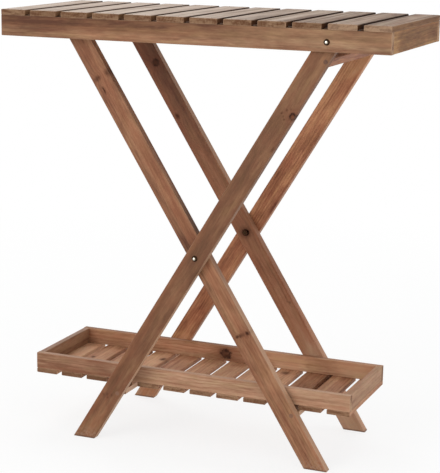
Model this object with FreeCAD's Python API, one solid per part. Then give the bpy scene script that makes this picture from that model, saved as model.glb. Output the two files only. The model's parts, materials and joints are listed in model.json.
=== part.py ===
import FreeCAD, Part
import math
import os

# Folding slatted plant rack: a slatted top on two crossed leg frames, with a loose slatted tray below.
# All sizes are in millimetres. X runs along the top, Y from front to rear and Z up from the floor.
# The origin is on the floor, under the middle of the top.

# Table top
TOP_LENGTH = 735.0
TOP_DEPTH = 312.0
TOP_HEIGHT = 800.0
TOP_RAIL_HEIGHT = 37.5
TOP_SLAT_WIDTH = 51.5
TOP_SLAT_GAP = 11.25
TOP_SLAT_THICKNESS = 10.0
TOP_BOARD_THICKNESS = 14.0

# Plane taken off the long edges of every board
EDGE_CHAMFER = 1.0

# Legs: the outer pair rises to the right and carries the top, the inner pair rises to the left
LEG_WIDTH = 37.0
LEG_THICKNESS = 17.0
PIVOT_X = 14.0
PIVOT_HEIGHT = 370.5
OUTER_LEG_INSET = 111.9
INNER_LEG_INSET = 118.5
LEG_PLAY = 0.4
HEAD_CLEARANCE = 2.5

# Crossbars between the legs of a pair, and the batten that stops the inner legs
BAR_WIDTH = 19.0
BAR_THICKNESS = 11.0
OUTER_BAR_DROP = 32.5
INNER_BAR_DROP = 20.0
SEAT_PLAY = 0.3
STOP_PLAY = 0.3

# Tray, which lies loose on the lower crossbars
TRAY_LENGTH = 633.0
TRAY_SHIFT = -15.0
TRAY_UNDERSIDE = 102.0
TRAY_RAIL_HEIGHT = 30.5
TRAY_BOARD_THICKNESS = 12.0
TRAY_SLAT_WIDTH = 43.3
TRAY_SLAT_SPACING = 10.3
TRAY_SLAT_THICKNESS = 8.5
TRAY_SIDE_ROOM = 3.9

# Bolts, with dome heads outside and a washer and a nut inside
BOLT_DIAMETER = 6.0
BOLT_PLAY = 0.05
BOLT_HEAD_DIAMETER = 11.0
BOLT_HEAD_HEIGHT = 3.6
WASHER_DIAMETER = 14.0
WASHER_THICKNESS = 1.0
NUT_ACROSS_FLATS = 10.0
NUT_THICKNESS = 4.0
NUT_PLAY = 0.1

# Countersunk screws through the legs into the ends of the crossbars
SCREW_DIAMETER = 4.0
SCREW_HEAD_DIAMETER = 8.0
SCREW_HEAD_DEPTH = 2.2
SCREW_LENGTH = 45.0
SCREW_TIP_LENGTH = 5.0
SCREW_PLAY = 0.05

vec = FreeCAD.Vector
ALONG_X = vec(1, 0, 0)
ALONG_Y = vec(0, 1, 0)
ALONG_Z = vec(0, 0, 1)
FRONT = -1
REAR = 1
SIDES = (("front", FRONT), ("rear", REAR))

# Heights and depths that the pieces share, counted from the floor and from the middle plane
SLAT_UNDERSIDE = TOP_HEIGHT - TOP_SLAT_THICKNESS
TRAY_SLAT_TOP = TRAY_UNDERSIDE + TRAY_SLAT_THICKNESS
TRAY_RIM_TOP = TRAY_SLAT_TOP + TRAY_RAIL_HEIGHT
RAIL_OUTER_Y = TOP_DEPTH / 2
RAIL_INNER_Y = RAIL_OUTER_Y - TOP_BOARD_THICKNESS
OUTER_LEG_OUTER_Y = RAIL_INNER_Y - LEG_PLAY
OUTER_LEG_INNER_Y = OUTER_LEG_OUTER_Y - LEG_THICKNESS
INNER_LEG_OUTER_Y = OUTER_LEG_INNER_Y - LEG_PLAY
INNER_LEG_INNER_Y = INNER_LEG_OUTER_Y - LEG_THICKNESS
TRAY_OUTER_Y = INNER_LEG_INNER_Y - TRAY_SIDE_ROOM
HOLE_RADIUS = BOLT_DIAMETER / 2 + BOLT_PLAY

# Where the legs cross and where they end under the slats. The top turns on bolts through the outer legs,
# low enough for their round heads to clear the slats.
PIVOT = vec(PIVOT_X, 0, PIVOT_HEIGHT)
TOP_BOLT = vec(TOP_LENGTH / 2 - OUTER_LEG_INSET, 0, SLAT_UNDERSIDE - LEG_WIDTH / 2 - HEAD_CLEARANCE)
INNER_LEG_TOP = vec(INNER_LEG_INSET - TOP_LENGTH / 2, 0, SLAT_UNDERSIDE - SEAT_PLAY)
OUTER_UP = (TOP_BOLT - PIVOT).normalize()
INNER_UP = (INNER_LEG_TOP - PIVOT).normalize()


def right_side(up):
    """Direction square to a leg, towards its right-hand side."""
    return vec(up.z, 0, -up.x)


def on_leg(up, height):
    """Point of a leg's middle line at a height above the floor."""
    return PIVOT + up * ((height - PIVOT_HEIGHT) / up.z)


def runs_along(edge, direction):
    """Whether an edge is straight and parallel to a direction."""
    if edge.Curve.TypeId != "Part::GeomLine":
        return False
    return abs(edge.Curve.Direction.dot(direction)) > 0.9999


def eased(shape, direction):
    """The shape with its long edges, those along a direction, planed off."""
    return shape.makeChamfer(EDGE_CHAMFER, [edge for edge in shape.Edges if runs_along(edge, direction)])


def board(low, high, grain):
    """A planed board between two corners, with its long edges eased."""
    size = high - low
    return eased(Part.makeBox(size.x, size.y, size.z, low), grain)


def prism(outline, low_y, high_y):
    """A closed outline in the plane of the legs, given thickness between two depths."""
    face = Part.Face(Part.Wire(outline))
    face.translate(vec(0, low_y, 0))
    return face.extrude(vec(0, high_y - low_y, 0))


def polygon(points):
    """Straight edges round a list of corners."""
    pairs = zip(points, points[1:] + points[:1])
    return [Part.LineSegment(start, end).toShape() for start, end in pairs]


def depth_span(side, outer_y, inner_y):
    """Lower and higher depth of a piece that lies on the front or the rear side."""
    return sorted((side * outer_y, side * inner_y))


def drilled(shape, centre, radius):
    """The shape with a hole from front to rear through a point of the leg plane."""
    reach = TOP_DEPTH
    start = vec(centre.x, -reach, centre.z)
    return shape.cut(Part.makeCylinder(radius, 2 * reach, start, ALONG_Y))


def turned(outline):
    """A solid turned about Z from a closed half outline."""
    return Part.Face(Part.Wire(outline)).revolve(vec(), ALONG_Z, 360)


def facing(shape, centre, side, depth):
    """A turned piece laid along Y at a point of the leg plane, its head facing outwards."""
    outward = ALONG_Y * side
    shape.Placement = FreeCAD.Placement(vec(centre.x, side * depth, centre.z),
                                        FreeCAD.Rotation(ALONG_Z, outward))
    return shape


def outer_leg(side):
    """Leg with a level foot and a round head about the top's bolt."""
    half = LEG_WIDTH / 2
    across = right_side(OUTER_UP) * half
    foot = on_leg(OUTER_UP, 0)
    slant = vec(half / OUTER_UP.z, 0, 0)
    left = Part.LineSegment(TOP_BOLT - across, foot - slant)
    base = Part.LineSegment(foot - slant, foot + slant)
    right = Part.LineSegment(foot + slant, TOP_BOLT + across)
    head = Part.Arc(TOP_BOLT + across, TOP_BOLT + OUTER_UP * half, TOP_BOLT - across)
    outline = [curve.toShape() for curve in (left, base, right, head)]
    leg = prism(outline, *depth_span(side, OUTER_LEG_OUTER_Y, OUTER_LEG_INNER_Y))
    round_edges = [edge for edge in leg.Edges if edge.Curve.TypeId == "Part::GeomCircle"]
    long_edges = [edge for edge in leg.Edges if runs_along(edge, OUTER_UP)]
    leg = leg.makeChamfer(EDGE_CHAMFER, long_edges + round_edges)
    return drilled(drilled(leg, PIVOT, HOLE_RADIUS), TOP_BOLT, HOLE_RADIUS)


def inner_leg(side):
    """Leg with a level foot and a level upper end that the slats rest on."""
    foot = on_leg(INNER_UP, 0)
    slant = vec(LEG_WIDTH / 2 / INNER_UP.z, 0, 0)
    outline = polygon([foot - slant, foot + slant, INNER_LEG_TOP + slant, INNER_LEG_TOP - slant])
    leg = prism(outline, *depth_span(side, INNER_LEG_OUTER_Y, INNER_LEG_INNER_Y))
    return drilled(eased(leg, INNER_UP), PIVOT, HOLE_RADIUS)


def upper_bar(up, flush_side, leg_top, drop):
    """Section of a crossbar that lies along the legs, a drop below a point at their upper ends."""
    flush = leg_top + flush_side * (LEG_WIDTH / 2)
    inward = flush_side * -BAR_THICKNESS
    high = flush - up * (drop - BAR_WIDTH / 2)
    low = flush - up * (drop + BAR_WIDTH / 2)
    return [low, high, high + inward, low + inward]


def lower_bar(up):
    """Section of a level crossbar that carries the tray, at mid height flush with the legs' right side."""
    top = TRAY_UNDERSIDE - SEAT_PLAY
    bottom = top - BAR_THICKNESS
    right = on_leg(up, (top + bottom) / 2).x + LEG_WIDTH / 2 / up.z
    left = right - BAR_WIDTH
    return [vec(right, 0, bottom), vec(right, 0, top), vec(left, 0, top), vec(left, 0, bottom)]


def middle(corners):
    """Middle of a bar's section, where its screws go."""
    return (corners[0] + corners[2]) * 0.5


def crossbar(corners, inner_y):
    """A crossbar between the inner faces of two legs."""
    return eased(prism(polygon(corners), -inner_y, inner_y), ALONG_Y)


def countersunk_screw(play):
    """A wood screw, or the hole for it, head at the top and tip down along Z."""
    head = SCREW_HEAD_DIAMETER / 2 + play
    shank = SCREW_DIAMETER / 2 + play
    neck_z = -SCREW_HEAD_DEPTH - play
    tip_z = -SCREW_LENGTH - play
    points = [vec(0, 0, 0), vec(head, 0, 0), vec(shank, 0, neck_z),
              vec(shank, 0, tip_z + SCREW_TIP_LENGTH), vec(0, 0, tip_z)]
    return turned(polygon(points))


def dome_bolt(grip):
    """A bolt with a dome head, whose shank reaches a grip below the head along Z."""
    head = BOLT_HEAD_DIAMETER / 2
    shank = BOLT_DIAMETER / 2
    dome_radius = (head ** 2 + BOLT_HEAD_HEIGHT ** 2) / (2 * BOLT_HEAD_HEIGHT)
    dome_centre = vec(0, 0, BOLT_HEAD_HEIGHT - dome_radius)
    half_angle = math.asin(head / dome_radius) / 2
    shoulder = dome_centre + vec(math.sin(half_angle), 0, math.cos(half_angle)) * dome_radius
    crown = vec(0, 0, BOLT_HEAD_HEIGHT)
    brim = vec(head, 0, 0)
    under = [brim, vec(shank, 0, 0), vec(shank, 0, -grip), vec(0, 0, -grip), crown]
    outline = [Part.Arc(crown, shoulder, brim).toShape()]
    outline += [Part.LineSegment(start, end).toShape() for start, end in zip(under, under[1:])]
    return turned(outline)


def washer():
    """A plain washer standing on Z = 0."""
    disc = Part.makeCylinder(WASHER_DIAMETER / 2, WASHER_THICKNESS)
    return disc.cut(Part.makeCylinder(HOLE_RADIUS, WASHER_THICKNESS))


def nut():
    """A hexagon nut standing on Z = 0."""
    corner = NUT_ACROSS_FLATS / math.sqrt(3)
    points = [vec(corner * math.cos(turn), corner * math.sin(turn), 0)
              for turn in (math.radians(60 * step) for step in range(6))]
    block = Part.Face(Part.Wire(polygon(points))).extrude(vec(0, 0, NUT_THICKNESS))
    return block.cut(Part.makeCylinder(HOLE_RADIUS, NUT_THICKNESS))


def bolt_set(centre, outer_y, inner_y):
    """Bolts, washers and nuts through one joint, at the front and at the rear."""
    washer_y = inner_y - NUT_PLAY - WASHER_THICKNESS
    nut_y = washer_y - NUT_THICKNESS
    grip = outer_y - nut_y
    bolts = [facing(dome_bolt(grip), centre, side, outer_y) for _, side in SIDES]
    washers = [facing(washer(), centre, side, washer_y) for _, side in SIDES]
    nuts = [facing(nut(), centre, side, nut_y) for _, side in SIDES]
    return [Part.makeCompound(group) for group in (bolts, washers, nuts)]


def leg_frame(name, make_leg, outer_y, inner_y, sections):
    """Two legs, the crossbars between them and the screws that hold the bars."""
    spots = [(middle(corners), side) for corners in sections.values() for _, side in SIDES]
    holes = Part.makeCompound([facing(countersunk_screw(SCREW_PLAY), spot, side, outer_y)
                               for spot, side in spots])
    pieces = {}
    for place, side in SIDES:
        pieces["%s_leg_%s" % (name, place)] = make_leg(side).cut(holes)
    for place, corners in sections.items():
        pieces["%s_%s_bar" % (name, place)] = crossbar(corners, inner_y).cut(holes)
    pieces["%s_bar_screws" % name] = Part.makeCompound(
        [facing(countersunk_screw(0), spot, side, outer_y) for spot, side in spots])
    return pieces


def rim(name, centre_x, length, outer_y, thickness, low_z, high_z):
    """Two rails over the whole length, with an end board between them at either end."""
    left = centre_x - length / 2
    right = centre_x + length / 2
    inner_y = outer_y - thickness
    pieces = {}
    for place, side in SIDES:
        low_y, high_y = depth_span(side, outer_y, inner_y)
        rail = board(vec(left, low_y, low_z), vec(right, high_y, high_z), ALONG_X)
        pieces["%s_rail_%s" % (name, place)] = rail
    for place, low_x in (("left", left), ("right", right - thickness)):
        low = vec(low_x, -inner_y, low_z)
        high = vec(low_x + thickness, inner_y, high_z)
        pieces["%s_end_%s" % (name, place)] = board(low, high, ALONG_Y)
    return pieces


def slats(name, left, widths, gap, outer_y, low_z, high_z):
    """Boards laid front to rear, side by side from the left end."""
    pieces = {}
    low_x = left
    for number, width in enumerate(widths, 1):
        low = vec(low_x, -outer_y, low_z)
        high = vec(low_x + width, outer_y, high_z)
        pieces["%s_slat_%02d" % (name, number)] = board(low, high, ALONG_Y)
        low_x += width + gap
    return pieces


def slat_count(length, width, gap):
    """How many slats of about one width and gap fill a length."""
    return round((length + gap) / (width + gap))


def table_top():
    """Rim, slats and stop batten; the end slats are cut down to finish flush with the rim."""
    pieces = rim("top", 0, TOP_LENGTH, RAIL_OUTER_Y, TOP_BOARD_THICKNESS,
                 SLAT_UNDERSIDE - TOP_RAIL_HEIGHT, SLAT_UNDERSIDE)
    for place, _ in SIDES:
        rail = "top_rail_%s" % place
        pieces[rail] = drilled(pieces[rail], TOP_BOLT, HOLE_RADIUS)
    count = slat_count(TOP_LENGTH, TOP_SLAT_WIDTH, TOP_SLAT_GAP)
    inside = (count - 2) * TOP_SLAT_WIDTH + (count - 1) * TOP_SLAT_GAP
    end_width = (TOP_LENGTH - inside) / 2
    widths = [end_width] + [TOP_SLAT_WIDTH] * (count - 2) + [end_width]
    pieces.update(slats("top", -TOP_LENGTH / 2, widths, TOP_SLAT_GAP, RAIL_OUTER_Y,
                        SLAT_UNDERSIDE, TOP_HEIGHT))
    stop_x = INNER_LEG_TOP.x - LEG_WIDTH / 2 / INNER_UP.z - STOP_PLAY
    low = vec(stop_x - BAR_WIDTH, -RAIL_INNER_Y, SLAT_UNDERSIDE - BAR_THICKNESS)
    pieces["top_stop_batten"] = board(low, vec(stop_x, RAIL_INNER_Y, SLAT_UNDERSIDE), ALONG_Y)
    return pieces


def tray():
    """Rim with slats under it, as deep as the room between the inner legs allows."""
    pieces = rim("tray", TRAY_SHIFT, TRAY_LENGTH, TRAY_OUTER_Y, TRAY_BOARD_THICKNESS,
                 TRAY_SLAT_TOP, TRAY_RIM_TOP)
    count = slat_count(TRAY_LENGTH, TRAY_SLAT_WIDTH, TRAY_SLAT_SPACING)
    gap = (TRAY_LENGTH - count * TRAY_SLAT_WIDTH) / (count - 1)
    pieces.update(slats("tray", TRAY_SHIFT - TRAY_LENGTH / 2, [TRAY_SLAT_WIDTH] * count, gap,
                        TRAY_OUTER_Y, TRAY_UNDERSIDE, TRAY_SLAT_TOP))
    return pieces


def rack():
    """Every piece of the rack, by name."""
    outer_right = right_side(OUTER_UP)
    inner_left = right_side(INNER_UP) * -1
    outer_sections = {"upper": upper_bar(OUTER_UP, outer_right, TOP_BOLT, OUTER_BAR_DROP),
                      "lower": lower_bar(OUTER_UP)}
    inner_sections = {"upper": upper_bar(INNER_UP, inner_left, INNER_LEG_TOP, INNER_BAR_DROP),
                      "lower": lower_bar(INNER_UP)}
    pieces = table_top()
    pieces.update(tray())
    pieces.update(leg_frame("outer", outer_leg, OUTER_LEG_OUTER_Y, OUTER_LEG_INNER_Y, outer_sections))
    pieces.update(leg_frame("inner", inner_leg, INNER_LEG_OUTER_Y, INNER_LEG_INNER_Y, inner_sections))
    joints = (("pivot", PIVOT, OUTER_LEG_OUTER_Y, INNER_LEG_INNER_Y),
              ("top", TOP_BOLT, RAIL_OUTER_Y, OUTER_LEG_INNER_Y))
    for name, centre, outer_y, inner_y in joints:
        bolts, washers, nuts = bolt_set(centre, outer_y, inner_y)
        pieces["%s_bolts" % name] = bolts
        pieces["%s_washers" % name] = washers
        pieces["%s_nuts" % name] = nuts
    return pieces


os.makedirs("parts", exist_ok=True)
for node, shape in rack().items():
    shape.exportStep("parts/%s.step" % node)
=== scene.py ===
import json
import math
import random

import bmesh
import bpy
from mathutils import Matrix, Vector


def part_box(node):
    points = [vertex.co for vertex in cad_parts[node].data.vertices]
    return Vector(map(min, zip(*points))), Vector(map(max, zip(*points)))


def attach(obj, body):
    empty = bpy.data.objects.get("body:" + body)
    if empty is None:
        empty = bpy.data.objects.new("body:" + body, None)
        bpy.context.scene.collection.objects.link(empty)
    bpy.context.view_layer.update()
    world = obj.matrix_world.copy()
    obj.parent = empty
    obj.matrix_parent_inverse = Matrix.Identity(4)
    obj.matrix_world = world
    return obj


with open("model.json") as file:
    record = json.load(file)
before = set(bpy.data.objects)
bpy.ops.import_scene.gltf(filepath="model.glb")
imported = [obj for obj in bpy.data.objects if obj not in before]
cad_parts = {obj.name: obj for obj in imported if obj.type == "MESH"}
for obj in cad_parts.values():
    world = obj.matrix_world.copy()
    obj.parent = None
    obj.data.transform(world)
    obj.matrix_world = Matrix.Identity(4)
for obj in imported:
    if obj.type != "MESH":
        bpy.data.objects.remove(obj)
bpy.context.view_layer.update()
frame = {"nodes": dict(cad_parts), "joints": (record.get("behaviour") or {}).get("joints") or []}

# Looks of a folding slatted plant rack of stained fir. Places are in metres, grain sizes in millimetres.

AXIS_X = (1, 0, 0)
AXIS_Y = (0, 1, 0)
AXIS_Z = (0, 0, 1)
DOWN = (0, 0, -1)
WHITE = (1.0, 1.0, 1.0, 1.0)
MM = 1000.0

# Camera at the photograph's viewing angle
IMAGE_HEIGHT = 473
FOCAL_PIXELS = 1511.0
SENSOR_HEIGHT = 24.0
CAMERA_PLACE = (1.0576, -2.5608, 0.9896)
CAMERA_YAW = 22.356
CAMERA_PITCH = -12.367
CAMERA_ROLL = -0.855

# Stage and light
FLOOR_SIZE = 44.0
FLOOR_DROP = 0.0004
FLOOR_SHADE = 0.95
FLOOR_SHADOW_SHARE = 0.2
FLOOR_FADE = (0.7, 2.2)
SKY_STRENGTH = 0.72
SKY_TINT = (0.985, 1.0, 1.0)
LIT_MIDDLE = (0, 0, 0.45)
# Soft boxes: place, width and power
LAMPS = {
    "key": ((-1.2, -2.7, 1.5), 1.7, 36.0),
    "fill": ((2.3, -1.7, 0.4), 1.4, 14.0),
    "back": ((-1.0, 1.3, 1.9), 1.0, 9.0),
    "rim": ((2.3, 1.2, 0.9), 1.2, 10.0),
}

# Sizes of the stock that the grain has to know, in metres; legs count as endless, so that cut ends don't wear
LEG_SECTION = (0.037, 0.017)
LEG_HALF_LENGTH = 1.0
BAR_SECTION = (0.019, 0.011)
# Rounds in which the slope of the inner legs settles
SLOPE_ROUNDS = 8

# Steels: dark and light coat and roughness; a painted highlight on the crowns, how bare, and the colour of
# stained heads if any
STEELS = {
    "browned_steel": {"dark": "2a1c12", "light": "4a3826", "rough": 0.08, "glint": "dcd4c4"},
    "rusty_steel": {"dark": "2c1a11", "light": "55382a", "rough": 0.4},
    "stained_steel": {"dark": "50301f", "light": "694530", "rough": 0.55, "bare": 0.05, "low": "75503a"},
}
# Clouds and fine marks in steel: how fine per metre and how detailed, what clouds add and how deep marks are
STEEL_CLOUDS = ((420.0, 420.0, 420.0), 3.0)
STEEL_MARKS = ((2600.0, 2600.0, 2600.0), 2.0)
STEEL_STOPS = (0.35, 0.75)
STEEL_ROUGH_CLOUDS = 0.14
STEEL_BUMP = 0.15
STEEL_BUMP_DEPTH = 0.0001
# Bolt heads lie further than this from the middle plane, in metres, and get a painted highlight on their
# crowns
HEADS_FROM = 0.13
GLINT_FACING = (0.86, 0.98)
# Screw heads lower than this are stained over, in metres
STAINED_BELOW = 0.4

# Brads that hold the slats, in metres
BRAD_RADIUS = 0.0013
BRAD_TOP_SHARE = 0.55
BRAD_HEIGHT = 0.00035
BRAD_SIDES = 12
BRAD_INSET = 0.007
BRAD_SPREAD = 0.013

# Stains, each as pale wood, middle wood and deep wood, and the depths at which these are reached
STAINS = {
    "umber": ("8b6548", "704b34", "4d301f"),
    "brown": ("9c7254", "80573e", "583524"),
    "russet": ("b4805b", "946043", "673a25"),
    "walnut": ("9e7054", "7f543b", "573423"),
    "rail": ("ae8967", "8c694d", "603f2c"),
    "end": ("a07a50", "805b3a", "583720"),
    "slat": ("a28b74", "846a56", "594030"),
    "tray": ("bf9a7d", "a07a5f", "744d37"),
    "tray_end": ("b08b6e", "946f54", "6c4731"),
    "tray_floor": ("c59876", "a6785a", "764a31"),
}
STAIN_STOPS = (0.1, 0.48, 0.9)
# How strongly the grain shows in a stain, where it differs from the rest, about the middle depth
CONTRASTS = {"umber": 0.85, "brown": 1.05, "walnut": 0.6, "russet": 1.35, "end": 1.1, "tray": 0.95}
MIDDLE_DEPTH = 0.42
# Shine of the stains, less on the weathered slats and end boards
SHINE = 0.2
SHINES = {"slat": 0.1, "end": 0.1}

# Patterns in the wood: how fine along, across and through the piece, how detailed and how rough
PATTERNS = {
    "slow": ((0.0045, 0.02, 0.02), 2.0, 0.5),
    "quick": ((0.02, 0.09, 0.09), 2.0, 0.5),
    "streak": ((0.0024, 0.13, 0.13), 3.0, 0.65),
    "band": ((0.0012, 0.04, 0.04), 1.0, 0.5),
    "blotch": ((0.014, 0.045, 0.045), 3.0, 0.6),
    "fibre": ((0.035, 1.5, 1.5), 2.0, 0.6),
    "fleck": ((0.05, 0.32, 0.32), 2.0, 0.7),
    "hue": ((0.025, 0.07, 0.07), 3.0, 0.6),
    "red": ((0.0016, 0.06, 0.06), 2.0, 0.5),
    "knot_wobble": ((0.2, 0.2, 0.2), 3.0, 0.6),
    "knot_break": ((0.12, 0.12, 0.12), 1.0, 0.5),
    "sawn": ((0.4, 0.4, 0.4), 3.0, 0.75),
    "patch": ((0.1, 0.05, 0.22), 2.0, 0.5),
    "scuff": ((0.22, 0.22, 0.22), 3.0, 0.5),
    "weather": ((0.006, 0.05, 0.05), 3.0, 0.5),
}
# A pattern's middle value and usual range, and how far a piece is shifted in the patterns at most
PATTERN_MIDDLE = 0.5
PATTERN_SPAN = (0.3, 0.7)
PATTERN_SHIFT = 4000.0

# Growth rings, in millimetres: the pith's distance, the slope of the grain, the waves in it, ring widths
PITH_REACH = (18, 60)
GRAIN_SLOPE = 0.012
SLOW_WAVE = 18.0
QUICK_WAVE = 3.0
KNOT_WAVE = 11.0
RING_WIDTHS = (4.5, 8.0)
TRAY_RING_WIDTH = 3.4
# How dark a ring is across its width, and what rings add to the depth of stain at least and at most
RING_PROFILE = ((0.0, 0.05), (0.45, 0.25), (0.86, 1.0), (1.0, 0.05))
RING_SHARES = (0.02, 0.26)
TRAY_RING_SHARES = (0.02, 0.3)

# What makes the stain deeper, on legs, and on boards, slats and bars
LEG_SHARES = {"streak": 0.6, "band": 0.5, "blotch": 1.0, "fibre": 0.3, "fleck": 0.5}
BOARD_SHARES = {"streak": 0.8, "band": 0.65, "blotch": 0.7, "fibre": 0.3, "fleck": 0.45}
DEPTH_BASE = 0.1
DEPTH_SHIFTS = (-1.16, -1.08)
# Paler or darker lengths, partly the wood's own tone and partly painted light and shade: painted shade on the
# inner front leg about the pivot and on the inner rear leg under the top, and partly painted light on the
# paler feet. From and to in millimetres along the piece, and the depth of stain added at each
FADES_AND_PAINTED_LIGHT = {
    "inner_leg_front": ((180.0, 40.0, 0.0, 0.2), (40.0, -60.0, 0.0, -0.22), (-200.0, -400.0, 0.0, -0.2)),
    "inner_leg_rear": ((400.0, 50.0, 0.3, 0.0), (-60.0, -380.0, 0.0, -0.9)),
    "outer_leg_front": ((250.0, 420.0, 0.05, -0.15), (-280.0, -420.0, 0.0, -0.2)),
    "outer_leg_rear": ((150.0, 400.0, 0.08, -0.3), (-230.0, -380.0, 0.0, -0.65)),
    "top_rail_front": ((-360.0, -60.0, 0.2, 0.0), (100.0, 350.0, 0.0, 0.1)),
    "top_end_right": ((-145.0, -90.0, -0.3, 0.0),),
    "tray_rail_front": ((-170.0, -130.0, 0.24, -0.06),),
    "tray_rail_rear": ((-250.0, -100.0, 0.12, 0.0), (60.0, 110.0, 0.0, -0.5), (150.0, 175.0, 0.0, 0.22),
                       (225.0, 245.0, 0.0, -0.22)),
    "tray_slat_01": ((-90.0, 90.0, -0.5, -0.5),),
    "tray_slat_04": ((-90.0, 90.0, -0.22, -0.22),),
    "tray_slat_07": ((-90.0, 90.0, -0.28, -0.28),),
    "tray_slat_08": ((-90.0, 90.0, -0.28, -0.28),),
    "tray_slat_09": ((-90.0, 90.0, -0.2, -0.2),),
    "tray_slat_10": ((-90.0, 90.0, 0.15, 0.15),),
}
# How far a fade's ends waver, in millimetres, and the pale wood mixed in where the depth falls low, partly
# bare wood where the stain is thin and partly painted light on the feet
FADE_WAVER = 120.0
FADED_DEPTHS = (0.1, -0.6)
FADED_SHARE = 0.7
FADED_AND_LIT_WOOD = "c6a387"

# Boards with a darker heartwood side: from which line across, where along it is complete and has faded out
HEARTWOOD = {"top_rail_front": (-1.0, -160.0, 300.0)}
HEARTWOOD_TINT = (0.74, 0.62, 0.55)
HEARTWOOD_SOFTNESS = 4
# Boards with a paler sapwood edge: up to which line across, and where along it starts and is complete
SAPWOOD = {
    "top_rail_front": (-5.0, -150.0, 40.0),
    "tray_rail_rear": (-5.0, -500.0, -400.0),
}
SAPWOOD_TINT = (1.15, 1.27, 1.35)
SAPWOOD_SOFTNESS = 5
# How far both lines waver, in millimetres
HEARTWOOD_WAVER = 14.0

# Redder and more olive patches, and reddish streaks
REDDER = (1.0, 0.94, 0.94)
REDDER_SPAN = (0.48, 0.62)
MORE_OLIVE = (0.97, 1.0, 0.95)
MORE_OLIVE_SPAN = (0.48, 0.36)
RED_STREAKS = "8f4f33"
RED_SPAN = (0.48, 0.7)
RED_SHARE = 0.22

# Large ringed knots: along and across the piece in millimetres, how large, how drawn out along it
RINGED_KNOTS = {
    "inner_leg_rear": ((373, 5, 6.8, 1.1),),
    "outer_leg_front": ((322, 14.5, 6.2, 1.1),),
    "tray_rail_rear": ((-2, -1, 9.5, 1.2),),
}
# Colours out from a knot's heart, its broken edge and the darker zone about it, in sizes of the knot
KNOT_COLOURS = ((0.0, "6b4029"), (0.28, "5d3520"), (0.5, "2a130a"), (0.68, "30160b"), (1.0, "5f3924"))
KNOT_EDGE = 1.35
KNOT_INSIDE = 0.8
KNOT_BREAK_SPAN = (0.35, 0.55)
KNOT_BREAK_SHARES = (0.55, 0.95)
KNOT_WOBBLE = 1.2
KNOT_HALO_SPAN = (4.0, 0.5)
KNOT_HALO = "6b3a25"
KNOT_HALO_SHARE = 0.4
FAR_FROM_KNOTS = 9.0
# Small soft knots and specks: along, across, how large, how drawn out along the piece, how dark
SOFT_KNOTS = {
    "inner_leg_front": (
        (370, -7, 7.0, 0.75, 0.65), (370, 17, 6.0, 1.2, 0.65), (345, -6, 2.2, 3.2, 0.9),
        (-160.5, -8, 4.4, 0.7, 0.85), (-161.5, -2, 5.2, 0.75, 0.75), (-162, 4, 4.2, 0.9, 0.5),
        (-163, 12.5, 4.2, 1.1, 1.0), (-163.5, 19, 3.0, 1.0, 0.7)),
    "inner_leg_rear": (
        (373, 5, 7.5, 1.1, 0.75), (0, 0, 13.0, 1.0, 0.6), (262, -9, 5.0, 1.3, 0.8),
        (-160, 11, 2.2, 1.2, 0.4), (-156, 7, 1.8, 1.2, 0.3)),
    "outer_leg_front": (
        (316, -5, 1.8, 1.4, 0.6), (312.5, 0, 1.6, 1.4, 0.5), (309, 4.5, 1.9, 1.0, 0.65),
        (325.5, 0, 1.8, 1.4, 0.5), (330.5, 5.5, 1.7, 1.4, 0.4), (253, 15, 2.2, 2.4, 0.45),
        (-334, -11, 2.4, 1.0, 0.35), (-329, -5, 2.8, 1.0, 0.3), (-334, -1.5, 2.2, 1.0, 0.35),
        (-325, 3, 2.4, 1.2, 0.35)),
    "tray_rail_rear": ((-5, 2, 10.0, 1.2, 0.6),),
    "tray_slat_02": ((6, -10, 4.5, 1.3, 0.85),),
    "tray_slat_04": ((50, 15, 6.5, 1.4, 0.85),),
    "tray_slat_09": ((68, -2, 8.5, 1.1, 0.7),),
}
SOFT_KNOT = "3b1c0d"
SOFT_KNOT_SPAN = (1.5, 0.2)
SOFT_KNOT_WOBBLE = 0.9
SOFT_HALO_SPAN = (3.5, 0.5)
SOFT_HALO_SHARE = 0.5

# Sawn ends: their colours, and how rings, saw marks and patches open the pores
END_FACING = (0.6, 0.85)
END_SHARE = 0.85
END_PALE = "ab8a6c"
END_DEEP = "5c3825"
PORES_OF_RINGS = 0.3
PORES_OF_SAWING = (-0.15, 0.55)
PATCH_SPAN = (0.36, 0.64)
PORES_OF_PATCHES = (-0.35, 0.65)
# How dark the sawn ends are in the stains that show them, and in single slats
END_DARK = "553620"
END_DARKNESS = {
    "slat": 0.6, "top_slat_02": 0.75, "top_slat_03": 0.7, "top_slat_05": 0.7, "top_slat_10": 0.7,
    "tray_floor": 0.75, "tray_slat_01": 0.85, "tray_slat_02": 0.88, "tray_slat_03": 0.95,
    "tray_slat_05": 0.5, "tray_slat_06": 0.5, "tray_slat_08": 0.55, "tray_slat_12": 0.6,
}
# Slats whose sawn ends stayed pale
PALE_ENDED = ("top_slat_11", "top_slat_12")
PALE_END = "8a715c"
PALE_END_SHARE = 0.55

# Worn edges, in millimetres from two faces at once
WORN_EDGE = "bf9c80"
WEAR_SPAN = (2.6, 0.9)
WEAR_WAVER = 2.4
WEAR_SHARE = 0.3

# How rough the wood is, more so on sawn ends and knots, and its relief
ROUGHNESS = 0.48
ROUGH_FIBRES = 0.22
ROUGH_ENDS = 0.15
ROUGH_KNOTS = 0.25
RELIEF = 0.35
RELIEF_DEPTH = 0.0005
RELIEF_OF_RINGS = 0.3
RELIEF_OF_FIBRES = 0.8

# Scuffs at the feet, and the legs darker over their lowest millimetres, by height in metres
SCUFF = "a58c7a"
SCUFF_SPAN = (0.42, 0.6)
SCUFF_SHARE = 0.28
SCUFF_HEIGHTS = (0.03, 0.002)
FOOT_DARK = "4a3324"
FOOT_DARK_SHARE = 0.6
FOOT_DARK_HEIGHTS = (0.004, 0.001)

# How squarely a face has to look sideways, up or into a gap to count
SIDE_FACING = (0.8, 0.95)
UP_FACING = (0.7, 0.95)
EASED_FACING = (0.4, 0.65)
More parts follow.
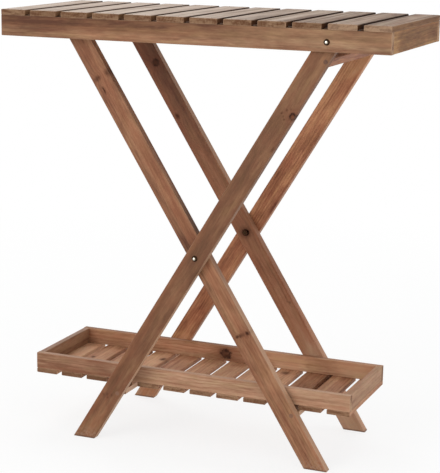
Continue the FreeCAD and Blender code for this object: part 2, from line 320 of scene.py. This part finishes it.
# Legs and bars whose narrow sides get painted light, paler than the wood: where along the piece that begins
# and is complete, and how much
LIT_SIDES = {
    "outer_leg_front": (300.0, -260.0, 0.75),
    "outer_leg_rear": (600.0, 500.0, 0.2),
    "inner_leg_rear": (-150.0, 150.0, 0.35),
    "inner_leg_front": (60.0, -160.0, 0.55),
    "outer_lower_bar": (600.0, 500.0, 0.95),
    "inner_lower_bar": (600.0, 500.0, 0.9),
}
LIT_LEG_SIDE = "c39e81"
LIT_BAR_SIDE = "d2ae92"
# A leg whose narrow side gets painted shade above the pivot: where that begins, is complete, ends and fades
# out
SHADOWED_SIDES = {"inner_leg_front": (150.0, 70.0, 45.0, 20.0)}
SIDE_SHADOW = "33200f"
SIDE_SHADOW_SHARE = 0.6
# Boards of the tray whose upper edges are paler or darker: how much, and the colour
UPPER_EDGES = {
    "tray_rail_front": (0.4, "c9a78e"),
    "tray_end_left": (0.15, "bfb0a6"),
    "tray_rail_rear": (0.35, "553727"),
}

# Slats at the two ends of the top, whose outer sides are seen; that of the last continues the end board
FIRST_SLAT = "top_slat_01"
LAST_SLAT = "top_slat_12"
OUTER_SIDE_STOPS = (0.0, 0.25, 0.65)
# Painted shade on the sides in the gaps of the top: darker from left to right, in metres, and behind the
# front, in millimetres
GAP_SHADE_LEFT = "80552f"
GAP_SHADE_RIGHT = "4c280b"
GAP_COLOUR_SPAN = (-0.25, 0.1)
GAP_SHARE_SPAN = (-0.25, 0.2)
GAP_SHADE_SHARES = (0.6, 0.9)
GAP_INSIDE = (-148.0, -120.0)
GAP_SHADE_TINT = (0.24, 0.165, 0.11)
# Bleach on the upper faces of the slats, in patches, less on streaks, and a painted sheen towards the left
# end, in metres
BLEACH_AND_SHEEN = "c4af9e"
BLEACH_PATCH_SPAN = (0.35, 0.65)
BLEACH_OF_PATCHES = (0.1, 0.55)
BLEACH_OF_STREAKS = (0.3, -0.3)
SHEEN_LENGTH_SPAN = (0.3, -0.1)
SHEEN_OF_LENGTH = (-0.19, 0.4)
# Painted shade on the upper faces along the gaps, widening the dark gap lines, in millimetres from the edge
# and from the middle
GAP_EDGE_SHADE = "3c2a1c"
GAP_EDGE_SHADE_WIDTHS = (2.4, 0.8)
GAP_EDGE_SHADE_SHARE = 0.9
GAP_EDGE_SHADE_ENDS = (152.0, 135.0)
# Painted shade on the upper edges of the top's rails, seen only in the gaps, and on the inner face of the
# rear rail
UNDER_SLAT_SHADE = "2e1b0f"
UNDER_SLAT_SHADE_SHARE = 0.85
SHADED_RAIL = "top_rail_rear"
SHADED_FACING = (-0.7, -0.95)
SHADED_TINT = (0.55, 0.5, 0.46)


def srgb(code):
    """Linear colour of a six-digit screen colour."""
    channels = [int(code[i:i + 2], 16) / 255 for i in (0, 2, 4)]
    return tuple(c / 12.92 if c <= 0.04045 else ((c + 0.055) / 1.055) ** 2.4 for c in channels)


def grey(value):
    """The same value in all three channels."""
    return (value, value, value)


class Graph:
    """A short way to write shader nodes: numbers, colours and sockets go in, sockets come out."""

    def __init__(self, owner):
        owner.use_nodes = True
        self.tree = owner.node_tree
        self.tree.nodes.clear()

    def node(self, kind, **settings):
        made = self.tree.nodes.new("ShaderNode" + kind)
        for name, value in settings.items():
            setattr(made, name, value)
        return made

    def put(self, socket, value):
        if isinstance(value, bpy.types.NodeSocket):
            self.tree.links.new(value, socket)
        elif value is not None:
            wide = hasattr(socket.default_value, "__len__") and len(socket.default_value) == 4
            socket.default_value = (*value, 1.0) if wide and len(value) == 3 else value

    def math(self, operation, first, second=None, third=None, clamp=False):
        made = self.node("Math", operation=operation, use_clamp=clamp)
        for socket, value in zip(made.inputs, (first, second, third)):
            self.put(socket, value)
        return made.outputs[0]

    def plus(self, first, second, clamp=False):
        return self.math("ADD", first, second, clamp=clamp)

    def times(self, first, second, clamp=False):
        return self.math("MULTIPLY", first, second, clamp=clamp)

    def added(self, field, share, base):
        """The base and a share of the field."""
        return self.math("MULTIPLY_ADD", field, share, base)

    def centred(self, field):
        return self.math("SUBTRACT", field, PATTERN_MIDDLE)

    def magnitude(self, value):
        return self.math("ABSOLUTE", value)

    def vector(self, operation, first, second=None):
        made = self.node("VectorMath", operation=operation)
        for socket, value in zip(made.inputs, (first, second)):
            self.put(socket, value)
        return made.outputs["Value" if operation in ("LENGTH", "DOT_PRODUCT") else "Vector"]

    def dot(self, vector, axis):
        return self.vector("DOT_PRODUCT", vector, tuple(axis))

    def scaled(self, vector, factors):
        return self.vector("MULTIPLY", vector, factors)

    def split(self, vector):
        made = self.node("SeparateXYZ")
        self.put(made.inputs[0], vector)
        return made.outputs

    def noise(self, vector, factors, detail, roughness=0.5):
        made = self.node("TexNoise")
        self.put(made.inputs["Vector"], self.scaled(vector, factors))
        self.put(made.inputs["Scale"], 1.0)
        self.put(made.inputs["Detail"], detail)
        self.put(made.inputs["Roughness"], roughness)
        return made.outputs["Fac"]

    def smooth(self, value, span, levels=(0.0, 1.0)):
        """A smooth step over a span of the value, from one level to another."""
        made = self.node("MapRange", interpolation_type="SMOOTHSTEP")
        for name, given in (("Value", value), ("From Min", span[0]), ("From Max", span[1]),
                            ("To Min", levels[0]), ("To Max", levels[1])):
            self.put(made.inputs[name], given)
        return made.outputs["Result"]

    def ramp(self, value, places, colours):
        made = self.node("ValToRGB")
        self.put(made.inputs["Fac"], value)
        points = made.color_ramp.elements
        while len(points) < len(places):
            points.new(1.0)
        for point, place, colour in zip(points, places, colours):
            point.position = place
            point.color = (*colour, 1.0)
        return made.outputs["Color"]

    def mix(self, share, first, second, blend="MIX"):
        made = self.node("Mix", data_type="RGBA", blend_type=blend)
        self.put(made.inputs["Factor"], share)
        self.put(made.inputs[6], first)
        self.put(made.inputs[7], second)
        return made.outputs[2]

    def choose(self, share, first, second):
        made = self.node("MixShader")
        for socket, value in zip(made.inputs, (share, first.outputs[0], second.outputs[0])):
            self.put(socket, value)
        return made.outputs[0]

    def seen(self):
        """What the camera sees, straight, in reflections or through glass."""
        path = self.node("LightPath")
        share = path.outputs["Is Camera Ray"]
        for ray in ("Is Glossy Ray", "Is Transmission Ray"):
            share = self.math("MAXIMUM", share, path.outputs[ray])
        return share

    def relief(self, shader, height, strength, depth):
        bump = self.node("Bump")
        bump.inputs["Strength"].default_value = strength
        bump.inputs["Distance"].default_value = depth
        self.put(bump.inputs["Height"], height)
        self.put(shader.inputs["Normal"], bump.outputs["Normal"])

    def finish(self, shader, kind="OutputMaterial"):
        self.put(self.node(kind).inputs["Surface"], shader)


class Piece:
    """How a piece of timber lies: its middle, the directions along, across and through it, and half sizes."""

    def __init__(self, node, along, across, half=None, middle=None):
        low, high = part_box(node)
        self.name = node
        self.middle = Vector(middle) if middle else (low + high) / 2
        along = Vector(along).normalized()
        across = Vector(across).normalized()
        self.axes = Matrix((along, across, along.cross(across)))
        size = (high - low) / 2
        self.half = half or [abs(axis.dot(size)) for axis in self.axes]


JOINTS = {joint["name"]: joint for joint in frame["joints"]}
PIVOT = Vector(JOINTS["leg_fold"]["pos_m"])
OUTER_UP = (Vector(JOINTS["top_tilt"]["pos_m"]) - PIVOT).normalized()


def inner_up():
    """Direction up the inner legs, from the pivot to the middle of their level upper ends."""
    low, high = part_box("inner_leg_front")
    half_slant = LEG_SECTION[0] / 2
    rise = high.z - PIVOT.z
    run = PIVOT.x - low.x
    slope = math.atan2(rise, run)
    for _ in range(SLOPE_ROUNDS):
        slope = math.atan2(rise, run - half_slant / math.sin(slope))
    return Vector((-math.cos(slope), 0, math.sin(slope)))


def timber():
    """Every wooden piece with the way its grain runs."""
    pieces = []
    for frame_name, up in (("outer", OUTER_UP), ("inner", inner_up())):
        side = Vector((up.z, 0, -up.x))
        for place in ("front", "rear"):
            node = "%s_leg_%s" % (frame_name, place)
            low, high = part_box(node)
            middle = (PIVOT.x, (low.y + high.y) / 2, PIVOT.z)
            half = (LEG_HALF_LENGTH, LEG_SECTION[0] / 2, LEG_SECTION[1] / 2)
            pieces.append(Piece(node, up, side, half, middle))
        for level, broad_way in (("upper", up), ("lower", Vector(AXIS_X))):
            node = "%s_%s_bar" % (frame_name, level)
            low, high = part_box(node)
            half = ((high.y - low.y) / 2, BAR_SECTION[0] / 2, BAR_SECTION[1] / 2)
            pieces.append(Piece(node, AXIS_Y, broad_way, half))
    for name in ("top", "tray"):
        for place in ("front", "rear"):
            pieces.append(Piece("%s_rail_%s" % (name, place), AXIS_X, AXIS_Z))
        for place in ("left", "right"):
            pieces.append(Piece("%s_end_%s" % (name, place), AXIS_Y, AXIS_Z))
    pieces.append(Piece("top_stop_batten", AXIS_Y, AXIS_X))
    for node in sorted(frame["nodes"]):
        if "_slat_" in node:
            pieces.append(Piece(node, AXIS_Y, AXIS_X))
    return pieces


def stain_of(node):
    """Stain of a piece by where it sits."""
    if node.startswith("top"):
        return "slat" if "_slat_" in node else "end" if "_end_" in node else "rail"
    if node.startswith("tray"):
        return "tray_end" if "_end_" in node else "tray" if node.endswith("front") else "tray_floor"
    if node.startswith("outer"):
        return "umber" if node == "outer_leg_front" else "russet"
    return "walnut" if node == "inner_leg_rear" else "brown"


class Wood(Graph):
    """Stained fir: soft growth rings round a pith beside the board, streaks, fibres, knots and worn edges."""

    def __init__(self, piece):
        self.material = bpy.data.materials.new("wood_" + piece.name)
        super().__init__(self.material)
        self.piece = piece
        self.name = piece.name
        self.stain = stain_of(piece.name)
        self.leg = "_leg_" in piece.name
        self.dice = random.Random(piece.name)
        self.fields = {}
        self.lay()
        self.find_knots()
        self.grow()
        self.soak()
        self.shade_heart_and_sap()
        self.vary_hue()
        self.draw_knots()
        self.saw_ends()
        self.wear_edges()
        self.roughen()
        if self.leg:
            self.scuff_feet()
        self.paint_side_light_and_shade()
        if self.stain == "slat":
            self.paint_gap_shade()
            self.bleach_and_sheen()
            self.paint_gap_edge_shade()
        self.shade_upper_edges()
        if self.stain == "rail":
            self.shade_rail()
        self.close()

    def field(self, name):
        """One of the patterns in the wood, made when it is first asked for."""
        if name not in self.fields:
            self.fields[name] = self.noise(self.there, *PATTERNS[name])
        return self.fields[name]

    def tone(self, share, code):
        self.colour = self.mix(share, self.colour, srgb(code))

    def tint(self, share, factors):
        self.colour = self.mix(share, self.colour, factors, "MULTIPLY")

    def lay(self):
        """Grain coordinates in millimetres, the same shifted for the patterns, and the way faces look."""
        coordinates = self.node("TexCoord")
        self.spot = coordinates.outputs["Object"]
        self.facing = coordinates.outputs["Normal"]
        place = self.node("Mapping")
        self.put(place.inputs["Vector"], self.spot)
        place.inputs["Scale"].default_value = grey(MM)
        place.inputs["Rotation"].default_value = self.piece.axes.to_euler("XYZ")
        place.inputs["Location"].default_value = -(self.piece.axes @ self.piece.middle) * MM
        self.here = place.outputs["Vector"]
        shift = tuple(self.dice.uniform(-PATTERN_SHIFT, PATTERN_SHIFT) for _ in range(3))
        self.there = self.vector("ADD", self.here, shift)
        self.along, self.across, self.through = self.split(self.here)
        self.end = self.smooth(self.magnitude(self.dot(self.facing, self.piece.axes[0])), END_FACING)

    def away(self, knot):
        """Distance from a knot's heart, in sizes of the knot."""
        knot_along, knot_across, size, drawn = knot[:4]
        offset = self.vector("SUBTRACT", self.here, (knot_along, knot_across, 0))
        return self.vector("LENGTH", self.scaled(offset, (1 / (size * drawn), 1 / size, 0)))

    def find_knots(self):
        """How far out from ringed knots, how dark soft ones are, and where knots bend the grain."""
        ringed = RINGED_KNOTS.get(self.name, ())
        soft = SOFT_KNOTS.get(self.name, ())
        self.knotty = bool(ringed or soft)
        self.knot_reach = FAR_FROM_KNOTS
        self.soft_knots = 0.0
        self.knot_halo = 0.0
        if not self.knotty:
            return
        wobble = self.centred(self.field("knot_wobble"))
        for knot in ringed:
            reach = self.away(knot)
            self.knot_reach = self.math("MINIMUM", self.knot_reach, self.added(wobble, KNOT_WOBBLE, reach))
            self.knot_halo = self.math("MAXIMUM", self.knot_halo, self.smooth(reach, KNOT_HALO_SPAN))
        for knot in soft:
            reach = self.away(knot)
            darkness = knot[4]
            core = self.smooth(self.added(wobble, SOFT_KNOT_WOBBLE, reach), SOFT_KNOT_SPAN, (0.0, darkness))
            halo = self.smooth(reach, SOFT_HALO_SPAN, (0.0, SOFT_HALO_SHARE * darkness))
            self.soft_knots = self.math("MAXIMUM", self.soft_knots, core)
            self.knot_halo = self.math("MAXIMUM", self.knot_halo, halo)

    def grow(self):
        """Growth rings about a pith outside the board, bent by slow waves along the grain and by knots."""
        pith_angle = self.dice.uniform(0, 2 * math.pi)
        pith_reach = self.dice.uniform(*PITH_REACH)
        pith = (0, pith_reach * math.cos(pith_angle), pith_reach * math.sin(pith_angle))
        radius = self.vector("LENGTH", self.scaled(self.vector("SUBTRACT", self.here, pith), (0, 1, 1)))
        radius = self.added(self.along, self.dice.uniform(-GRAIN_SLOPE, GRAIN_SLOPE), radius)
        radius = self.added(self.field("slow"), SLOW_WAVE, radius)
        radius = self.added(self.field("quick"), QUICK_WAVE, radius)
        if self.knotty:
            radius = self.added(self.knot_halo, KNOT_WAVE, radius)
        ring_width = self.dice.uniform(*RING_WIDTHS)
        if self.stain == "tray":
            ring_width = TRAY_RING_WIDTH
        turn = self.math("FRACT", self.math("DIVIDE", radius, ring_width))
        places, shades = zip(*RING_PROFILE)
        self.late = self.ramp(turn, places, [grey(shade) for shade in shades])

    def soak(self):
        """Depth of the stain from rings, streaks, blotches and fibres, and the colour that it gives."""
        ring_shares = TRAY_RING_SHARES if self.stain == "tray" else RING_SHARES
        depth = self.added(self.late, self.smooth(self.field("slow"), PATTERN_SPAN, ring_shares), DEPTH_BASE)
        for name, share in (LEG_SHARES if self.leg else BOARD_SHARES).items():
            depth = self.added(self.field(name), share, depth)
        depth = self.plus(depth, self.dice.uniform(*DEPTH_SHIFTS))
        contrast = CONTRASTS.get(self.stain, 1.0)
        depth = self.added(depth, contrast, MIDDLE_DEPTH * (1 - contrast))
        fades_and_light = FADES_AND_PAINTED_LIGHT.get(self.name, ())
        if fades_and_light:
            waver = self.added(self.centred(self.field("blotch")), FADE_WAVER, self.along)
        # Fades shift the depth along the piece: the wood's own tone, and painted shade and light on the legs
        for start, stop, first, last in fades_and_light:
            depth = self.plus(depth, self.smooth(waver, (start, stop), (first, last)))
        self.depth = depth
        self.colour = self.stained(self.stain, STAIN_STOPS)
        # Pale wood where the depth falls low, partly painted light on the feet
        if fades_and_light:
            self.tone(self.smooth(depth, FADED_DEPTHS, (0.0, FADED_SHARE)), FADED_AND_LIT_WOOD)

    def stained(self, stain, stops):
        return self.ramp(self.depth, stops, [srgb(code) for code in STAINS[stain]])

    def shade_heart_and_sap(self):
        """Darker heartwood and paler sapwood along an edge."""
        if self.name not in HEARTWOOD and self.name not in SAPWOOD:
            return
        height = self.added(self.centred(self.field("slow")), HEARTWOOD_WAVER, self.across)
        if self.name in HEARTWOOD:
            line, start, stop = HEARTWOOD[self.name]
            above = self.smooth(height, (line - HEARTWOOD_SOFTNESS, line + HEARTWOOD_SOFTNESS))
            self.tint(self.times(above, self.smooth(self.along, (stop, start))), HEARTWOOD_TINT)
        if self.name in SAPWOOD:
            line, start, stop = SAPWOOD[self.name]
            below = self.smooth(height, (line + SAPWOOD_SOFTNESS, line - SAPWOOD_SOFTNESS))
            self.tint(self.times(below, self.smooth(self.along, (start, stop))), SAPWOOD_TINT)

    def vary_hue(self):
        self.tint(self.smooth(self.field("hue"), REDDER_SPAN), REDDER)
        self.tint(self.smooth(self.field("hue"), MORE_OLIVE_SPAN), MORE_OLIVE)
        self.tone(self.smooth(self.field("red"), RED_SPAN, (0.0, RED_SHARE)), RED_STREAKS)

    def draw_knots(self):
        if not self.knotty:
            return
        self.tone(self.times(self.knot_halo, KNOT_HALO_SHARE), KNOT_HALO)
        places, codes = zip(*KNOT_COLOURS)
        out = self.math("DIVIDE", self.knot_reach, KNOT_EDGE)
        hearts = self.ramp(out, places, [srgb(code) for code in codes])
        broken = self.smooth(self.field("knot_break"), KNOT_BREAK_SPAN, KNOT_BREAK_SHARES)
        core = self.times(self.smooth(self.knot_reach, (KNOT_EDGE, KNOT_INSIDE)), broken)
        self.colour = self.mix(core, self.colour, hearts)
        self.tone(self.soft_knots, SOFT_KNOT)
        self.knot_core = self.math("MAXIMUM", core, self.soft_knots)

    def saw_ends(self):
        """Sawn ends drink more stain and show the rings."""
        pores = self.smooth(self.field("sawn"), PATTERN_SPAN, PORES_OF_SAWING)
        pores = self.added(self.late, PORES_OF_RINGS, pores)
        patches = self.smooth(self.field("patch"), PATCH_SPAN, PORES_OF_PATCHES)
        ends = self.mix(self.plus(pores, patches, clamp=True), srgb(END_PALE), srgb(END_DEEP))
        if self.name in PALE_ENDED:
            ends = self.mix(PALE_END_SHARE, ends, srgb(PALE_END))
        elif self.stain in END_DARKNESS:
            darkness = END_DARKNESS.get(self.name, END_DARKNESS[self.stain])
            ends = self.mix(darkness, ends, srgb(END_DARK))
        self.colour = self.mix(self.times(self.end, END_SHARE), self.colour, ends)

    def wear_edges(self):
        """Worn edges lie near two of the board's faces at once."""
        lengthways, sideways, inward = (
            self.math("SUBTRACT", half * MM, self.magnitude(coordinate))
            for half, coordinate in zip(self.piece.half, (self.along, self.across, self.through)))
        nearer = self.math("MINIMUM", sideways, inward)
        further = self.math("MAXIMUM", sideways, inward)
        nearest_two = self.math("MAXIMUM", nearer, self.math("MINIMUM", further, lengthways))
        worn = self.smooth(self.added(self.field("quick"), WEAR_WAVER, nearest_two), WEAR_SPAN)
        self.tone(self.times(worn, WEAR_SHARE), WORN_EDGE)

    def roughen(self):
        self.rough = self.added(self.field("fibre"), ROUGH_FIBRES, ROUGHNESS)
        self.rough = self.added(self.end, ROUGH_ENDS, self.rough)
        if self.knotty:
            self.rough = self.added(self.knot_core, ROUGH_KNOTS, self.rough)

    def scuff_feet(self):
        height = self.dot(self.spot, AXIS_Z)
        scuff = self.smooth(self.field("scuff"), SCUFF_SPAN, (0.0, SCUFF_SHARE))
        self.tone(self.times(scuff, self.smooth(height, SCUFF_HEIGHTS)), SCUFF)
        # The legs are darker over their lowest few millimetres
        self.tone(self.smooth(height, FOOT_DARK_HEIGHTS, (0.0, FOOT_DARK_SHARE)), FOOT_DARK)

    def paint_side_light_and_shade(self):
        if self.name not in LIT_SIDES and self.name not in SHADOWED_SIDES:
            return
        side = self.smooth(self.magnitude(self.dot(self.facing, self.piece.axes[1])), SIDE_FACING)
        if self.name in LIT_SIDES:
            # Painted light: the narrow sides are made paler along part of the piece
            start, full, most = LIT_SIDES[self.name]
            bare = self.smooth(self.along, (start, full), (0.0, most))
            self.tone(self.times(side, bare), LIT_LEG_SIDE if self.leg else LIT_BAR_SIDE)
        if self.name in SHADOWED_SIDES:
            # Painted shade on the narrow side above the pivot
            start, full, last, none = SHADOWED_SIDES[self.name]
            upper = self.smooth(self.along, (start, full))
            lower = self.smooth(self.along, (none, last), (0.0, SIDE_SHADOW_SHARE))
            self.tone(self.times(side, self.times(upper, lower)), SIDE_SHADOW)

    def upward(self, share=1.0):
        """Faces that look up, by a share."""
        return self.smooth(self.dot(self.facing, AXIS_Z), UP_FACING, (0.0, share))

    def into_gaps(self, span):
        """Faces that look to either side, but not outward at the ends of the top."""
        sideways = self.split(self.facing)["X"]
        right = 0.0 if self.name == LAST_SLAT else self.smooth(sideways, span)
        left = 0.0 if self.name == FIRST_SLAT else self.smooth(sideways, [-limit for limit in span])
        return self.plus(right, left)

    def paint_gap_shade(self):
        """Painted shade on the sides in the gaps, deeper behind the front; the last slat's outer side is
        stained as the end board is.
        """
        length_way = self.split(self.spot)["X"]
        shaded_side = self.into_gaps(SIDE_FACING)
        dark = self.smooth(length_way, GAP_SHARE_SPAN, GAP_SHADE_SHARES)
        gap_shade = self.mix(self.smooth(length_way, GAP_COLOUR_SPAN), srgb(GAP_SHADE_LEFT), srgb(GAP_SHADE_RIGHT))
        # Painted shade: the sides in the gaps are coloured dark
        self.colour = self.mix(self.times(shaded_side, dark), self.colour, gap_shade)
        # Painted shade, deeper behind the front
        self.tint(self.times(self.into_gaps(EASED_FACING), self.smooth(self.along, GAP_INSIDE)), GAP_SHADE_TINT)
        self.rough = self.math("MAXIMUM", self.rough, shaded_side)
        if self.name == LAST_SLAT:
            outward = self.smooth(self.split(self.facing)["X"], SIDE_FACING)
            self.colour = self.mix(outward, self.colour, self.stained("end", OUTER_SIDE_STOPS))

    def bleach_and_sheen(self):
        """Sun and rain bleach the upper faces in patches; a painted sheen makes them paler towards the left
        end.
        """
        bleach_and_sheen = self.smooth(self.field("weather"), BLEACH_PATCH_SPAN, BLEACH_OF_PATCHES)
        bleach_and_sheen = self.plus(bleach_and_sheen, self.smooth(self.field("streak"), PATTERN_SPAN, BLEACH_OF_STREAKS))
        length_way = self.split(self.spot)["X"]
        # Painted sheen: the upper faces paler towards the left end
        bleach_and_sheen = self.plus(bleach_and_sheen, self.smooth(length_way, SHEEN_LENGTH_SPAN, SHEEN_OF_LENGTH))
        self.tone(self.times(self.upward(), bleach_and_sheen, clamp=True), BLEACH_AND_SHEEN)

    def paint_gap_edge_shade(self):
        """Painted shade on the upper faces along the gaps."""
        edge = self.magnitude(self.across)
        if self.name == FIRST_SLAT:
            edge = self.across
        elif self.name == LAST_SLAT:
            edge = self.times(self.across, -1.0)
        half_width = self.piece.half[1] * MM
        edge = self.smooth(edge, [half_width - width for width in GAP_EDGE_SHADE_WIDTHS], (0.0, GAP_EDGE_SHADE_SHARE))
        # Painted shade along the gap edges
        edge_shade = self.times(edge, self.smooth(self.magnitude(self.along), GAP_EDGE_SHADE_ENDS))
        self.tone(self.times(self.upward(), edge_shade), GAP_EDGE_SHADE)

    def shade_upper_edges(self):
        if self.name in UPPER_EDGES:
            share, code = UPPER_EDGES[self.name]
            self.tone(self.upward(share), code)

    def shade_rail(self):
        """Painted shade: the top's rails and batten are dark under the slats, the rear rail also on its inner
        face.
        """
        covered = self.upward()
        self.tone(self.times(covered, UNDER_SLAT_SHADE_SHARE), UNDER_SLAT_SHADE)
        self.rough = self.math("MAXIMUM", self.rough, covered)
        if self.name == SHADED_RAIL:
            self.tint(self.smooth(self.dot(self.facing, AXIS_Y), SHADED_FACING), SHADED_TINT)

    def close(self):
        shader = self.node("BsdfPrincipled")
        self.put(shader.inputs["Base Color"], self.colour)
        self.put(shader.inputs["Roughness"], self.rough)
        shader.inputs["Specular IOR Level"].default_value = SHINES.get(self.stain, SHINE)
        height = self.added(self.late, RELIEF_OF_RINGS, self.times(self.field("fibre"), RELIEF_OF_FIBRES))
        self.relief(shader, height, RELIEF, RELIEF_DEPTH)
        self.finish(shader.outputs["BSDF"])


def steel(name, dark, light, rough, glint=None, bare=1.0, low=None):
    """Steel with a browned coat and a painted highlight on its crowns, or its lower heads stained in their
    own colour.
    """
    material = bpy.data.materials.new(name)
    g = Graph(material)
    coordinates = g.node("TexCoord")
    here = coordinates.outputs["Object"]
    cloud = g.noise(here, *STEEL_CLOUDS)
    colour = g.ramp(cloud, STEEL_STOPS, (srgb(dark), srgb(light)))
    if low:
        colour = g.mix(g.math("LESS_THAN", g.dot(here, AXIS_Z), STAINED_BELOW), colour, srgb(low))
    # Painted highlight: the crowns of bolt heads that face along Y are coloured bright
    if glint:
        outward = g.smooth(g.magnitude(g.dot(coordinates.outputs["Normal"], AXIS_Y)), GLINT_FACING)
        head = g.math("GREATER_THAN", g.magnitude(g.dot(here, AXIS_Y)), HEADS_FROM)
        colour = g.mix(g.times(head, outward), colour, srgb(glint))
    shader = g.node("BsdfPrincipled")
    g.put(shader.inputs["Base Color"], colour)
    shader.inputs["Metallic"].default_value = bare
    g.put(shader.inputs["Roughness"], g.added(cloud, STEEL_ROUGH_CLOUDS, rough))
    g.relief(shader, g.noise(here, *STEEL_MARKS), STEEL_BUMP, STEEL_BUMP_DEPTH)
    g.finish(shader.outputs["BSDF"])
    return material


def brad_heads(name, spots, body, material):
    """Low domed heads of small nails, given as (place, outward direction)."""
    mesh = bpy.data.meshes.new(name)
    build = bmesh.new()
    for place, outward in spots:
        turn = Vector(AXIS_Z).rotation_difference(Vector(outward)).to_matrix().to_4x4()
        made = bmesh.ops.create_cone(build, cap_ends=True, segments=BRAD_SIDES, radius1=BRAD_RADIUS,
                                     radius2=BRAD_RADIUS * BRAD_TOP_SHARE, depth=2 * BRAD_HEIGHT)
        bmesh.ops.transform(build, matrix=Matrix.Translation(place) @ turn, verts=made["verts"])
    build.to_mesh(mesh)
    build.free()
    mesh.materials.append(material)
    head = bpy.data.objects.new(name, mesh)
    bpy.context.scene.collection.objects.link(head)
    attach(head, body)


def slat_brads(prefix, outward):
    """Two brads at each end of every slat, over the rails."""
    spots = []
    for node in sorted(frame["nodes"]):
        if not node.startswith(prefix + "_slat_"):
            continue
        low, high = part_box(node)
        middle_x = (low.x + high.x) / 2
        face_z = high.z if outward[2] > 0 else low.z
        for y in (low.y + BRAD_INSET, high.y - BRAD_INSET):
            for step in (-BRAD_SPREAD, BRAD_SPREAD):
                spots.append((Vector((middle_x + step, y, face_z)), outward))
    return spots


def sky():
    """Even soft light from all round, white to the camera."""
    world = bpy.data.worlds.new("studio")
    bpy.context.scene.world = world
    g = Graph(world)
    light = g.node("Background")
    light.inputs["Color"].default_value = (*SKY_TINT, 1.0)
    light.inputs["Strength"].default_value = SKY_STRENGTH
    white = g.node("Background")
    white.inputs["Color"].default_value = WHITE
    g.finish(g.choose(g.seen(), light, white), "OutputWorld")


def floor():
    """Plain pale floor that keeps a soft shadow."""
    mesh = bpy.data.meshes.new("floor")
    half = FLOOR_SIZE / 2
    corners = [(x, y, -FLOOR_DROP) for x, y in ((-half, -half), (half, -half), (half, half), (-half, half))]
    mesh.from_pydata(corners, [], [(0, 1, 2, 3)])
    material = bpy.data.materials.new("pale_floor")
    g = Graph(material)
    matt = g.node("BsdfDiffuse")
    matt.inputs["Color"].default_value = (*grey(FLOOR_SHADE), 1.0)
    white = g.node("Emission")
    white.inputs["Color"].default_value = WHITE
    distance = g.vector("LENGTH", g.node("TexCoord").outputs["Object"])
    share = g.times(g.seen(), g.smooth(distance, FLOOR_FADE, (1 - FLOOR_SHADOW_SHARE, 1.0)))
    g.finish(g.choose(share, matt, white))
    mesh.materials.append(material)
    plane = bpy.data.objects.new("floor", mesh)
    bpy.context.scene.collection.objects.link(plane)


def area_light(name, place, size, power):
    """A square soft box that faces the middle of the rack."""
    lamp = bpy.data.lights.new(name, "AREA")
    lamp.size = size
    lamp.energy = power
    box = bpy.data.objects.new(name, lamp)
    box.location = place
    box.rotation_euler = (Vector(LIT_MIDDLE) - Vector(place)).to_track_quat("-Z", "Y").to_euler()
    bpy.context.scene.collection.objects.link(box)


def camera():
    """Camera where the photograph was taken from."""
    lens = bpy.data.cameras.new("camera")
    lens.sensor_fit = "VERTICAL"
    lens.sensor_height = SENSOR_HEIGHT
    lens.lens = SENSOR_HEIGHT * FOCAL_PIXELS / IMAGE_HEIGHT
    eye = bpy.data.objects.new("camera", lens)
    eye.matrix_world = (Matrix.Translation(CAMERA_PLACE)
                        @ Matrix.Rotation(math.radians(CAMERA_YAW), 4, "Z")
                        @ Matrix.Rotation(math.radians(90 + CAMERA_PITCH), 4, "X")
                        @ Matrix.Rotation(math.radians(-CAMERA_ROLL), 4, "Z"))
    bpy.context.scene.collection.objects.link(eye)
    bpy.context.scene.camera = eye


def dress(node, material):
    """Give a CAD node one material."""
    mesh = frame["nodes"][node].data
    mesh.materials.clear()
    mesh.materials.append(material)


camera()
sky()
floor()
for lamp, (spot, width, power) in LAMPS.items():
    area_light(lamp, spot, width, power)
bpy.context.scene.view_settings.view_transform = "Standard"

for piece in timber():
    dress(piece.name, Wood(piece).material)
bronze, rusty, stained = (steel(name, **looks) for name, looks in STEELS.items())
for node in frame["nodes"]:
    if node.endswith("_bolts"):
        dress(node, bronze)
    elif node.endswith(("_washers", "_nuts")):
        dress(node, rusty)
    elif node.endswith("_screws"):
        dress(node, stained)
brad_heads("top_brads", slat_brads("top", AXIS_Z), "top", rusty)
brad_heads("tray_brads", slat_brads("tray", DOWN), "tray", rusty)
